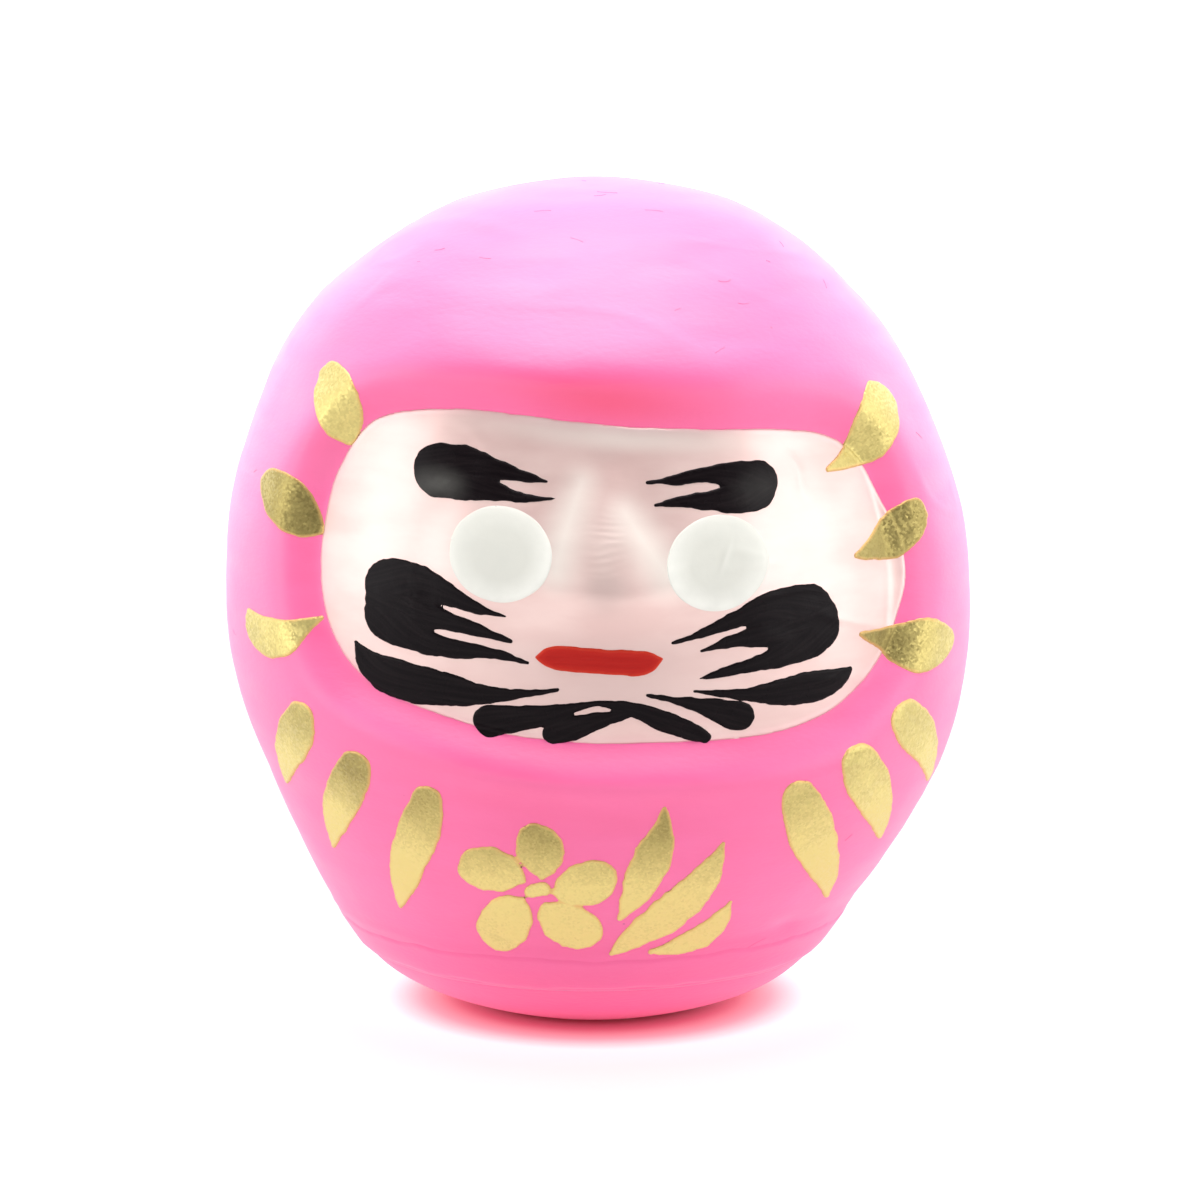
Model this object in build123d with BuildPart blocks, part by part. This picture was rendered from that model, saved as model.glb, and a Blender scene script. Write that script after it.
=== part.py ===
from build123d import *
import os

os.makedirs("parts", exist_ok=True)

# A daruma: a hollow papier-mâché doll on a round clay weight. Millimetres, +Z up, the face towards -Y,
# the origin at the middle of the face that it rests on.

# Half outline of the whole body, from the edge of the resting face to the crown, as (radius, height)
BODY_OUTLINE = [
    (12.5, 0),
    (20.2, 2.8),
    (24.4, 6.0),
    (27.4, 10.0),
    (31.6, 16.5),
    (36.0, 25),
    (39.4, 35),
    (40.4, 45),
    (39.5, 55),
    (36.4, 65),
    (31.6, 74.5),
    (24.0, 82),
    (15.7, 87),
    (7.8, 89.2),
    (0, 90),
]
FRONT = Plane.XZ.offset(4)  # where cutting prisms start, in front of the axis
REACH = 60.0  # how far they run, past the belly

# Paper and clay
WALL = 1.8
JOIN_Z = 9.8  # where the paper shell stands on the weight
PLUG_TOP = 13.5  # the weight's rim inside the shell
DISH_RADIUS = 34.0
DISH_FLOOR = 7.5  # clay left under the dished top, at the axis
STRIP = 0.25  # thickness of the pasted strips
JOIN_STRIP_LOW = 6.8
JOIN_STRIP_HIGH = 11.0
SEAM_STRIP_WIDTH = 9.0
SEAM_STRIP_LOW = 16.0
SEAM_STRIP_HIGH = 80.0
BASE_PAPER = 0.3

# The sunken face and its nose
FACE_DEPTH = 3.2
FACE_RIM = 1.8  # the sunken floor runs this far past the coat's outline
FACE_OUTLINE = [
    (-28.2, 52.2),
    (-25.7, 62.4),
    (-18.0, 67.6),
    (-3.6, 67.4),
    (13.4, 66.2),
    (24.6, 64.0),
    (30.4, 54.5),
    (30.8, 45.5),
    (26.2, 37.8),
    (13.8, 35.5),
    (-2.0, 35.8),
    (-15.4, 38.2),
    (-25.2, 43.4),
]
NOSE_HALF_LENGTH = 9.6
NOSE_HALF_WIDTH = 5.2
NOSE_CENTRE = (0.7, -35.0, 53.2)
NOSE_TILT = 9.0  # degrees, the lower end forward

# Paint films
COAT = 0.2
EYE_FILM = 0.45
INK = 0.2
GOLD = 0.15
EYES = {"left": (-9.5, 54.5), "right": (12.1, 53.5)}
EYE_RADII = (5.1, 4.7)

# Brush strokes as they show from the front: stations along the middle of the stroke, each with its
# place and half width, (x, z, half width). A mark is one or more strokes that dried as one film.
INK_MARKS = {
    "brow_left": [
        [(-15.9, 62.5, 2.6), (-13.0, 62.9, 2.1), (-10.2, 62.8, 1.1), (-7.6, 62.3, 0.6), (-5.1, 61.8, 0.15)],
        [(-15.9, 62.2, 2.5), (-13.0, 61.6, 1.9), (-10.2, 60.8, 1.0), (-7.0, 60.2, 0.4), (-4.2, 60.2, 0.15)],
    ],
    "brow_right": [
        [(15.7, 61.0, 2.5), (13.2, 62.0, 1.3), (10.9, 62.2, 0.8), (8.0, 61.9, 0.5), (5.0, 61.7, 0.15)],
        [(15.7, 60.9, 2.5), (13.2, 59.9, 1.4), (9.9, 59.8, 0.8), (7.5, 59.7, 0.4), (5.8, 59.5, 0.15)],
    ],
    "moustache_left": [
        [(-20.6, 50.5, 3.0), (-18.0, 51.1, 2.0), (-15.0, 50.3, 1.2), (-12.0, 49.2, 0.6), (-9.2, 48.5, 0.15)],
        [(-20.6, 49.2, 3.0), (-17.6, 48.2, 1.7), (-14.2, 47.5, 0.9), (-11.0, 46.7, 0.5), (-8.7, 46.0, 0.15)],
        [(-20.6, 47.7, 3.0), (-18.2, 45.9, 1.7), (-15.4, 45.0, 1.1), (-11.0, 44.7, 0.6), (-7.0, 43.9, 0.15)],
    ],
    "moustache_right": [
        [(21.1, 48.1, 2.9), (17.6, 48.8, 1.8), (14.3, 48.1, 1.0), (11.1, 47.0, 0.5), (7.6, 46.0, 0.2)],
        [(21.5, 47.0, 3.1), (18.4, 46.3, 1.7), (16.0, 46.1, 1.1), (13.6, 45.8, 0.7), (10.5, 45.0, 0.15)],
        [(21.9, 46.2, 2.9), (20.0, 44.8, 2.0), (17.3, 43.6, 1.0), (13.9, 42.9, 0.6), (10.4, 42.2, 0.15)],
    ],
    "beard_left": [
        [(-24.6, 44.2, 0.3), (-22.8, 42.0, 1.7), (-19.4, 41.0, 2.1), (-15.2, 40.6, 1.7), (-11.0, 40.4, 0.9),
         (-4.4, 41.2, 0.15)],
    ],
    "beard_right": [
        [(25.6, 41.4, 0.3), (23.8, 40.4, 1.3), (21.2, 40.1, 1.7), (17.8, 40.0, 1.3), (14.2, 40.2, 0.6),
         (9.6, 40.8, 0.15)],
    ],
    "lips": [
        [(-5.0, 44.5, 0.8), (-3.2, 44.4, 1.2), (1.0, 44.1, 1.25), (5.1, 43.9, 1.1)],
    ],
    "chin_hair_left": [
        [(-10.7, 37.7, 1.5), (-7.6, 38.2, 1.15), (-4.5, 38.6, 0.85), (-1.0, 39.2, 0.6), (2.0, 39.5, 0.3)],
        [(-4.3, 36.6, 1.0), (-1.6, 37.5, 1.0), (1.5, 38.4, 0.75), (5.0, 39.2, 0.2)],
        [(10.8, 35.9, 0.6), (8.9, 36.9, 0.9), (6.6, 37.9, 0.95), (4.0, 39.0, 0.75), (0.6, 39.7, 0.3)],
    ],
    "chin_hair_right": [
        [(14.3, 37.9, 1.4), (12.0, 38.7, 1.1), (9.0, 39.7, 0.55), (5.0, 40.6, 0.15)],
    ],
}
# Gold strokes beside the face, from the top down
GOLD_STROKES = {
    "left": [
        [(-27.3, 71.8, 0.4), (-26.9, 69.9, 2.0), (-26.5, 67.6, 2.5), (-25.8, 65.6, 1.6), (-25.4, 64.2, 0.4)],
        [(-33.2, 58.8, 1.7), (-31.9, 57.4, 2.6), (-30.2, 55.9, 2.0), (-28.3, 54.7, 0.5)],
        [(-36.6, 45.3, 0.3), (-35.0, 43.4, 2.1), (-33.0, 43.6, 2.1), (-31.0, 44.6, 1.2), (-28.6, 45.9, 0.3)],
        [(-30.6, 35.6, 1.4), (-31.2, 33.4, 2.0), (-32.2, 30.6, 1.6), (-32.7, 28.2, 0.9), (-32.8, 26.4, 0.2)],
        [(-24.8, 31.2, 1.6), (-25.7, 28.8, 2.0), (-26.9, 25.6, 1.7), (-27.5, 22.8, 0.9), (-27.8, 20.5, 0.2)],
        [(-17.3, 28.8, 1.5), (-18.0, 26.0, 2.0), (-19.3, 22.0, 1.9), (-20.1, 18.6, 1.3), (-20.6, 15.3, 0.2)],
    ],
    "right": [
        [(28.5, 69.9, 0.4), (29.2, 67.9, 1.9), (29.0, 65.4, 2.6), (27.0, 63.2, 1.6), (23.9, 61.8, 0.3)],
        [(33.3, 55.0, 2.0), (31.2, 54.2, 2.2), (28.8, 53.5, 1.2), (26.6, 53.2, 0.3)],
        [(36.8, 40.7, 1.2), (35.0, 41.8, 2.4), (32.2, 43.2, 1.9), (29.4, 44.2, 1.0), (27.1, 44.8, 0.2)],
        [(32.6, 35.2, 1.5), (33.4, 33.0, 1.9), (34.6, 30.4, 1.5), (35.1, 28.2, 0.9), (35.2, 26.6, 0.2)],
        [(27.2, 31.4, 1.7), (28.3, 28.8, 2.1), (29.5, 25.6, 1.5), (30.1, 22.8, 0.9), (30.2, 21.1, 0.2)],
        [(20.9, 28.9, 1.6), (21.9, 26.0, 2.2), (23.2, 21.8, 2.0), (24.3, 18.2, 1.2), (24.6, 15.2, 0.2)],
    ],
}
# The belly's motif: a plum blossom and a spray of leaves
BLOSSOM_CENTRE = (-6.0, 19.4)
PETALS = 5
PETAL_ORBIT = 4.1
PETAL_RADIUS = 2.4
BLOSSOM_EYE = 1.3
LEAVES = [
    [(1.8, 12.0, 0.3), (4.6, 14.2, 1.2), (8.4, 17.2, 1.8), (11.2, 20.6, 1.2), (12.6, 24.2, 0.2)],
    [(2.6, 16.4, 0.3), (4.2, 19.2, 1.3), (5.8, 22.8, 1.7), (6.6, 26.0, 1.0), (6.8, 28.8, 0.2)],
    [(5.8, 12.0, 0.3), (8.6, 12.6, 1.0), (11.4, 14.2, 1.2), (13.4, 17.0, 0.2)],
]


def grown(points, amount):
    """The points of a half outline moved outward by amount, square to the outline."""
    moved = []
    mirrored = (-points[-2][0], points[-2][1])
    for before, here, after in zip([(0, points[0][1])] + points, points, points[1:] + [mirrored]):
        along = Vector(after[0] - before[0], after[1] - before[1]).normalized()
        moved.append((here[0] + amount * along.Y, here[1] - amount * along.X))
    return moved


def body(amount):
    """A solid turned from the body's outline, moved outward by amount."""
    points = grown(BODY_OUTLINE, amount)
    with BuildPart() as turned:
        with BuildSketch(Plane.XZ):
            with BuildLine():
                side = Spline(*points)
                Polyline(side @ 1, (0, points[0][1]), side @ 0)
            make_face()
        revolve(axis=Axis.Z)
    return turned.part


def nose(amount):
    """The nose's spheroid, moved outward by amount."""
    middle = Plane(origin=NOSE_CENTRE, x_dir=(1, 0, 0), z_dir=(0, -1, 0)).rotated((NOSE_TILT, 0, 0))
    with BuildPart() as ridge:
        with BuildSketch(middle):
            Ellipse(NOSE_HALF_WIDTH + amount, NOSE_HALF_LENGTH + amount)
            split(bisect_by=Plane.YZ)
        revolve(axis=Axis(middle.origin, middle.y_dir))
    return ridge.part


def face_prism(amount):
    """A prism of the face's outline, moved outward by amount, that runs forward from the axis."""
    points = []
    for before, here, after in zip(
        FACE_OUTLINE[-1:] + FACE_OUTLINE, FACE_OUTLINE, FACE_OUTLINE[1:] + FACE_OUTLINE[:1]
    ):
        along = Vector(after[0] - before[0], after[1] - before[1]).normalized()
        points.append((here[0] - amount * along.Y, here[1] + amount * along.X))
    with BuildPart() as prism:
        with BuildSketch(FRONT):
            with BuildLine():
                Spline(*points, periodic=True)
            make_face()
        extrude(amount=REACH)
    return prism.part


def slab(low, high):
    """A block that keeps what lies between two heights."""
    with BuildPart() as block:
        with BuildSketch(Plane.XY.offset(low)):
            Rectangle(2 * REACH, 2 * REACH)
        extrude(amount=high - low)
    return block.part


def brush_face(stations):
    """Fills one brush stroke, in the sketch being built: round ends, and sides through the stations."""
    places = [Vector(x, z) for x, z, half in stations]
    widths = [half for x, z, half in stations]
    left, right = [], []
    for before, here, after, half in zip(places[:1] + places, places, places[1:] + places[-1:], widths):
        along = (after - before).normalized()
        side = Vector(-along.Y, along.X) * half
        left.append(here + side)
        right.append(here - side)
    with BuildLine() as outline:
        Spline(*left)
        Line(left[-1], right[-1])
        Spline(*right)
        Line(right[0], left[0])
    make_face(outline.edges())
    for end in (0, -1):
        with Locations(places[end]):
            Circle(widths[end])


def trim(outer, inner):
    """Keeps what the piece being built has inside one solid and outside another."""
    add(outer, mode=Mode.INTERSECT)
    add(inner, mode=Mode.SUBTRACT)


def with_nose(solid, amount):
    """A face floor with the nose standing on it."""
    with BuildPart() as joined:
        add(solid)
        add(nose(amount))
    return joined.part


# Solids that several pieces are cut with
body_skin = body(0)
strip_skin = body(STRIP)
gold_skin = body(GOLD)
face_floor = with_nose(body(-FACE_DEPTH), 0)
coat_skin = with_nose(body(COAT - FACE_DEPTH), COAT)
ink_skin = with_nose(body(COAT + INK - FACE_DEPTH), COAT + INK)
eye_skin = body(COAT + EYE_FILM - FACE_DEPTH)
pocket_prism = face_prism(FACE_RIM)


def finish(piece, label):
    """Names a piece and writes it."""
    piece.part.label = label
    export_step(piece.part, f"parts/{label}.step")


# Paper shell: the body above the weight, hollow, with the face pressed in and the nose formed out of it
with BuildPart() as pocket:
    add(pocket_prism)
    add(face_floor, mode=Mode.SUBTRACT)
with BuildPart() as pocket_back:
    add(face_prism(FACE_RIM + WALL))
    add(body(-FACE_DEPTH - WALL), mode=Mode.SUBTRACT)
with BuildPart() as cavity:
    add(body(-WALL))
    add(pocket_back.part, mode=Mode.SUBTRACT)
    add(nose(-WALL))
with BuildPart() as paper_shell:
    add(body_skin)
    add(pocket.part, mode=Mode.SUBTRACT)
    add(cavity.part, mode=Mode.SUBTRACT)
    split(bisect_by=Plane.XY.offset(JOIN_Z), keep=Keep.TOP)
finish(paper_shell, "paper_shell")

# Weight: clay that carries the body's outline down to the resting face, with a plug inside the shell
with BuildPart() as plug:
    add(body(-WALL))
    add(slab(BASE_PAPER, PLUG_TOP), mode=Mode.INTERSECT)
with BuildPart() as base_weight:
    add(body_skin)
    add(slab(BASE_PAPER, JOIN_Z), mode=Mode.INTERSECT)
    add(plug.part)
    with Locations((0, 0, DISH_FLOOR + DISH_RADIUS)):
        Sphere(DISH_RADIUS, mode=Mode.SUBTRACT)
finish(base_weight, "base_weight")

# Paper disc pasted on the resting face
with BuildPart() as base_paper:
    with BuildSketch():
        Circle(BODY_OUTLINE[0][0])
    extrude(amount=BASE_PAPER)
finish(base_paper, "base_paper")

# Paper band pasted over the joint between shell and weight
with BuildPart() as base_join_strip:
    add(slab(JOIN_STRIP_LOW, JOIN_STRIP_HIGH))
    trim(strip_skin, body_skin)
finish(base_join_strip, "base_join_strip")

# Paper strip pasted down the slit in the back
with BuildPart() as back_seam_strip:
    with BuildSketch(FRONT):
        with Locations((0, (SEAM_STRIP_LOW + SEAM_STRIP_HIGH) / 2)):
            SlotOverall(SEAM_STRIP_HIGH - SEAM_STRIP_LOW, SEAM_STRIP_WIDTH, rotation=90)
    extrude(amount=-REACH)
    trim(strip_skin, body_skin)
finish(back_seam_strip, "back_seam_strip")

# Pearl coat over the sunken face
with BuildPart() as face_coat:
    add(face_prism(0))
    trim(coat_skin, face_floor)
finish(face_coat, "face_coat")

# Eye whites
for side, centre in EYES.items():
    with BuildPart() as eye_white:
        with BuildSketch(FRONT):
            with Locations(centre):
                Ellipse(*EYE_RADII)
        extrude(amount=REACH)
        trim(eye_skin, coat_skin)
    finish(eye_white, f"eye_white_{side}")

# Brows, moustaches, long beard strokes, chin hair and lips
for label, strokes in INK_MARKS.items():
    with BuildPart() as ink_mark:
        for stations in strokes:
            with BuildSketch(FRONT):
                brush_face(stations)
            extrude(amount=REACH)
        trim(ink_skin, coat_skin)
    finish(ink_mark, label)

# Gold strokes beside the face
for side, strokes in GOLD_STROKES.items():
    for number, stations in enumerate(strokes, 1):
        with BuildPart() as gold_stroke:
            with BuildSketch(FRONT):
                brush_face(stations)
            extrude(amount=REACH)
            add(pocket_prism, mode=Mode.SUBTRACT)
            trim(gold_skin, body_skin)
        finish(gold_stroke, f"gold_stroke_{side}_{number}")

# Gold motif on the belly
with BuildPart() as gold_blossom:
    with BuildSketch(FRONT):
        with Locations(BLOSSOM_CENTRE):
            with PolarLocations(PETAL_ORBIT, PETALS, start_angle=90):
                Circle(PETAL_RADIUS)
            Circle(BLOSSOM_EYE)
    extrude(amount=REACH)
    trim(gold_skin, body_skin)
finish(gold_blossom, "gold_blossom")
with BuildPart() as gold_leaves:
    for stations in LEAVES:
        with BuildSketch(FRONT):
            brush_face(stations)
        extrude(amount=REACH)
    trim(gold_skin, body_skin)
finish(gold_leaves, "gold_leaves")
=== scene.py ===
"""A papier-mache daruma doll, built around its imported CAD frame. Lengths are in millimetres until a mesh
is made. A place on the body is (turn, drop): turn in radians round the axis from the front, positive
towards +X, and drop in millimetres along the outline from the crown."""

import math

import bpy
import numpy as np
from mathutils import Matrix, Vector


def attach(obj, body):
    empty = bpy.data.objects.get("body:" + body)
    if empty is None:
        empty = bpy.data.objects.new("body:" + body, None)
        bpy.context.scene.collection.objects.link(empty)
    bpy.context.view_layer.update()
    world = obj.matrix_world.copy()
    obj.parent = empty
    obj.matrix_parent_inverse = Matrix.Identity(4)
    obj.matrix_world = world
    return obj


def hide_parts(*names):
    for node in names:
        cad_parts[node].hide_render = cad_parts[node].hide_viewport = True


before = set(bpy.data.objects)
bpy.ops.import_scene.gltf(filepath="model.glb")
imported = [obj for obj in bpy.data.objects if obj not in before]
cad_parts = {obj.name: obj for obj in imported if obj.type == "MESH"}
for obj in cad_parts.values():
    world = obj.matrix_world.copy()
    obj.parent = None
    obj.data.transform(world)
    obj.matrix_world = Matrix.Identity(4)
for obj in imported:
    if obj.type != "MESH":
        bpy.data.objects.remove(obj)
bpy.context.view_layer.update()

MM = 0.001
SEED = 20

# ---------------------------------------------------------------- the body's measures
# Half outline, from the edge of the resting face to the crown, as (radius, height)
BODY_OUTLINE = [
    (12.5, 0), (20.2, 2.8), (24.4, 6.0), (27.4, 10.0), (31.6, 16.5), (36.0, 25), (39.4, 35), (40.4, 45),
    (39.5, 55), (36.4, 65), (31.6, 74.5), (24.0, 82), (15.7, 87), (7.8, 89.2), (0, 90),
]
# How far the hand-formed body leans to +X at each height, as (height, shift)
LEAN = [
    (0, -0.3), (12, -0.5), (20, 0.4), (27, 0.8), (35, 0.4), (53, 0.0), (68, -0.5), (78, -0.9), (90, 0.0),
]
WALL = 1.8
JOIN_HEIGHT = 9.8
FACE_DEPTH = 3.2
FACE_WALL = 2.9  # how far the pressed-in wall slopes outward from the face's floor
FACE_OUTLINE = [
    (-28.2, 52.2), (-27.4, 58.3), (-25.2, 63.0), (-22.0, 66.5), (-17.8, 67.8), (-10.6, 68.1), (-3.6, 67.4),
    (4.3, 66.8), (13.4, 66.2), (20.7, 65.6), (24.9, 64.0), (28.0, 60.1), (29.8, 55.9), (31.1, 51.4),
    (31.0, 47.5), (29.9, 43.0), (28.4, 40.8), (25.6, 38.2), (22.0, 36.5), (17.9, 35.7), (11.3, 35.5),
    (0.4, 35.6), (-7.7, 36.2), (-16.5, 38.1), (-22.9, 40.3), (-26.1, 43.3), (-27.9, 48.0),
]
NOSE_X = 0.9
# How far the nose's ridge stands off the face's floor, as (height, rise)
NOSE_PROFILE = [
    (68, 0.0), (64.5, 0.1), (61, 0.45), (57.5, 1.1), (54, 1.85), (51.5, 2.2), (49.3, 2.1), (47, 1.4),
    (45, 0.6), (42.5, 0.0),
]
NOSE_TIP_HEIGHT = 51.2
NOSE_BRIDGE_HEIGHT = 55.0
# Painted highlights where the pearl is lightened down the nose's flanks, as strokes
NOSE_FLANK_HIGHLIGHTS = [
    [(-1.4, 61.5, 0.8), (-2.7, 57.5, 1.3), (-3.9, 53.0, 1.3)],
    [(2.8, 58.5, 0.8), (4.8, 55.5, 1.4), (6.9, 52.4, 1.5)],
]
# The inside, the weight and the pasted paper
PLUG_TOP = 13.5
DISH_RADIUS = 34.0
DISH_FLOOR = 7.5
BASE_PAPER = 0.3
STRIP_LOW = 6.8
STRIP_HIGH = 11.0
SEAM_WIDTH = 9.0
SEAM_LOW = 16.0
SEAM_HIGH = 80.0

# Brush strokes as they show from the front: stations (x, z, half width) along the middle of a stroke
INK_MARKS = {
    "brow_left": [
        [(-15.7, 62.3, 2.55), (-12.8, 62.7, 2.06), (-10.0, 62.6, 1.08), (-7.4, 62.1, 0.6),
         (-4.9, 61.6, 0.12)],
        [(-15.7, 62.0, 2.45), (-12.8, 61.4, 1.86), (-10.0, 60.6, 0.98), (-6.8, 60.0, 0.4),
         (-4.0, 60.0, 0.12)],
    ],
    "brow_right": [
        [(15.8, 60.8, 2.42), (13.3, 61.8, 1.26), (11.0, 62.0, 0.78), (8.1, 61.7, 0.5), (5.1, 61.5, 0.12)],
        [(15.8, 60.7, 2.42), (13.3, 59.7, 1.36), (10.0, 59.6, 0.78), (7.6, 59.5, 0.4), (5.9, 59.3, 0.12)],
    ],
    "moustache_left": [
        [(-20.4, 50.4, 2.97), (-17.8, 51.0, 1.98), (-14.8, 50.2, 1.19), (-11.8, 49.1, 0.6),
         (-9.0, 48.4, 0.12)],
        [(-20.4, 49.1, 2.97), (-17.4, 48.1, 1.68), (-14.0, 47.4, 0.89), (-10.8, 46.6, 0.5),
         (-8.5, 45.9, 0.12)],
        [(-20.4, 47.6, 2.97), (-18.0, 45.8, 1.68), (-15.2, 44.9, 1.09), (-10.8, 44.6, 0.6),
         (-6.8, 43.8, 0.12)],
    ],
    "moustache_right": [
        [(21.1, 47.9, 2.81), (17.6, 48.6, 1.75), (14.3, 47.9, 0.97), (11.1, 46.8, 0.5), (7.6, 45.8, 0.12)],
        [(21.5, 46.8, 3.01), (18.4, 46.1, 1.65), (16.0, 45.9, 1.07), (13.6, 45.6, 0.68), (10.5, 44.8, 0.12)],
        [(21.9, 46.0, 2.81), (20.0, 44.6, 1.94), (17.3, 43.4, 0.97), (13.9, 42.7, 0.6), (10.4, 42.0, 0.12)],
    ],
    "beard_left": [
        [(-24.3, 44.3, 0.2), (-22.3, 41.9, 1.7), (-18.9, 40.9, 2.1), (-14.6, 40.5, 1.7), (-10.4, 40.3, 0.9),
         (-3.8, 41.1, 0.12)],
    ],
    "beard_right": [
        [(25.8, 41.3, 0.3), (24.0, 40.3, 1.26), (21.4, 40.0, 1.65), (18.0, 39.9, 1.26), (14.4, 40.1, 0.6),
         (9.8, 40.7, 0.12)],
    ],
    "chin_hair_left": [
        [(-10.6, 37.6, 1.68), (-7.5, 38.1, 1.29), (-4.4, 38.6, 0.95), (-0.9, 39.6, 0.35), (2.1, 39.7, 0.3)],
        [(-4.2, 36.5, 1.12), (-2.6, 37.1, 1.3), (-0.9, 37.6, 1.05), (1.6, 38.3, 0.7), (5.1, 39.1, 0.3)],
        [(10.9, 35.8, 0.6), (9.0, 36.8, 1.01), (6.7, 37.8, 1.06), (4.1, 38.9, 0.84), (0.7, 39.6, 0.3)],
    ],
    "chin_hair_right": [
        [(14.4, 37.8, 1.54), (12.1, 38.6, 1.21), (9.1, 39.6, 0.55), (5.1, 40.5, 0.12)],
    ],
}
LIPS = [
    [(-5.9, 44.4, 0.1), (-5.0, 44.4, 0.75), (-3.9, 44.4, 1.25), (0.3, 44.1, 1.3), (4.7, 43.85, 1.25),
     (5.6, 44.0, 0.75), (6.5, 44.2, 0.1)],
]
# Painted highlights on the brows' lacquer, shown as grey, as (x, z, how grey)
BROW_HIGHLIGHTS = {"brow_left": (-15.9, 60.8, 0.9), "brow_right": (16.6, 60.4, 0.25)}
EYES = {"left": (-9.5, 54.5), "right": (12.1, 53.5)}
EYE_RADII = (5.1, 4.7)
GOLD_STROKES = {
    "left": [
        [(-27.1, 71.9, 0.4), (-26.7, 70.0, 2), (-26.3, 67.7, 2.5), (-25.6, 65.7, 1.6), (-25.2, 64.3, 0.4)],
        [(-33.2, 59.2, 1.7), (-31.9, 57.8, 2.6), (-30.2, 56.3, 2), (-28.3, 55.1, 0.5)],
        [(-36.2, 45.7, 0.3), (-34.6, 43.8, 1.95), (-32.6, 44.0, 1.9), (-30.6, 45.0, 1.05),
         (-28.2, 46.3, 0.3)],
        [(-30.5, 36.2, 1.43), (-31.1, 34.0, 2.04), (-32.1, 31.2, 1.63), (-32.6, 28.8, 0.92),
         (-32.7, 27.0, 0.2)],
        [(-24.6, 31.7, 1.68), (-25.5, 29.3, 2.1), (-26.7, 26.1, 1.78), (-27.3, 23.3, 0.95),
         (-27.6, 21.0, 0.2)],
        [(-17.1, 29.0, 1.6), (-17.8, 26.2, 2.14), (-19.1, 22.2, 2.03), (-19.9, 18.8, 1.39),
         (-20.4, 15.5, 0.2)],
    ],
    "right": [
        [(28.2, 69.7, 0.4), (28.9, 67.7, 1.84), (28.7, 65.2, 2.52), (26.7, 63.0, 1.55), (23.6, 61.6, 0.3)],
        [(33.1, 56.9, 1.0), (32.3, 55.5, 2.1), (30.5, 54.1, 2.2), (28.4, 53.2, 1.2), (26.5, 52.8, 0.3)],
        [(36.2, 42.2, 1.5), (34.5, 42.6, 2.7), (31.7, 43.1, 2.1), (29.0, 44.0, 0.95), (27.1, 44.7, 0.3)],
        [(32.2, 35.6, 1.8), (33.2, 33.9, 2.1), (34.3, 31.8, 1.7), (35.1, 29.6, 1.15), (35.4, 27.7, 0.6),
         (35.4, 26.5, 0.2)],
        [(26.9, 32.0, 1.85), (28.0, 29.4, 2.35), (29.2, 26.2, 1.75), (29.8, 23.4, 1.0), (29.9, 21.6, 0.2)],
        [(20.6, 29.2, 1.76), (21.6, 26.3, 2.42), (22.9, 22.1, 2.2), (24.0, 18.5, 1.32), (24.3, 15.5, 0.2)],
    ],
}
# Painted reflection and shade on each gold stroke: how pale it is where it begins and where it ends, from
# olive at 0 to bright gold at 1
GOLD_REFLECTION_TONES = {
    "left": [(0.6, 0.8), (0.2, 0.0), (0.8, 0.8), (0.5, 1.2), (0.2, 1.3), (0.4, 1.4)],
    "right": [(0.8, 0.6), (0.1, 0.1), (0.8, 0.0), (0.8, 1.2), (0.8, 1.3), (0.7, 1.4)],
}
BLOSSOM_CENTRE = (-6.0, 19.4)
PETALS = 5
LEAVES = [
    [(1.6, 11.8, 0.3), (4.4, 14.0, 1.5), (8.2, 17.2, 2.2), (11.2, 20.8, 1.5), (12.9, 24.6, 0.2)],
    [(2.4, 16.2, 0.3), (4.0, 19.2, 1.5), (5.6, 23.0, 2.0), (6.6, 26.2, 1.2), (6.9, 29.0, 0.2)],
    [(5.8, 11.8, 0.3), (8.8, 12.3, 1.1), (11.8, 14.0, 1.4), (13.8, 17.2, 0.2)],
]


# ---------------------------------------------------------------- curves and noise
def spline(points, count, closed=False):
    """Points of a smooth curve through points: a natural or closed cubic, even in its parameter."""
    knots = np.array(points, float)
    if closed:
        knots = np.vstack([knots, knots[:1]])
    steps = np.sqrt(np.linalg.norm(np.diff(knots[:, :2], axis=0), axis=1))
    at = np.concatenate([[0], np.cumsum(steps)])
    n = len(knots)
    rows = np.zeros((n, n))
    right = np.zeros(knots.shape)
    for i in range(1, n - 1):
        rows[i, i - 1 : i + 2] = steps[i - 1], 2 * (steps[i - 1] + steps[i]), steps[i]
        right[i] = 6 * ((knots[i + 1] - knots[i]) / steps[i] - (knots[i] - knots[i - 1]) / steps[i - 1])
    if closed:
        rows[0, [0, 1, n - 2]] = 2 * (steps[0] + steps[-1]), steps[0], steps[-1]
        right[0] = 6 * ((knots[1] - knots[0]) / steps[0] - (knots[0] - knots[-2]) / steps[-1])
        rows[-1, [0, -1]] = 1, -1
    else:
        rows[0, 0] = rows[-1, -1] = 1
    bend = np.linalg.solve(rows, right)
    t = np.linspace(0, at[-1], count, endpoint=not closed)
    i = np.clip(np.searchsorted(at, t, side="right") - 1, 0, n - 2)
    h, a, b = steps[i, None], (at[i + 1] - t)[:, None], (t - at[i])[:, None]
    cubic = (bend[i] * a**3 + bend[i + 1] * b**3) / (6 * h)
    return cubic + (knots[i] / h - bend[i] * h / 6) * a + (knots[i + 1] / h - bend[i + 1] * h / 6) * b


def smooth(x):
    """From 0 to 1 with level ends."""
    x = np.clip(x, 0, 1)
    return x * x * (3 - 2 * x)


def on_plane(a, b):
    """Places (a, b, 0), for noise over a surface."""
    return np.stack([a, b, np.zeros_like(a)], axis=-1)


NOISE_SIZE = 64
noise_table = np.random.default_rng(SEED).uniform(-1, 1, (NOISE_SIZE,) * 3)


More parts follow.
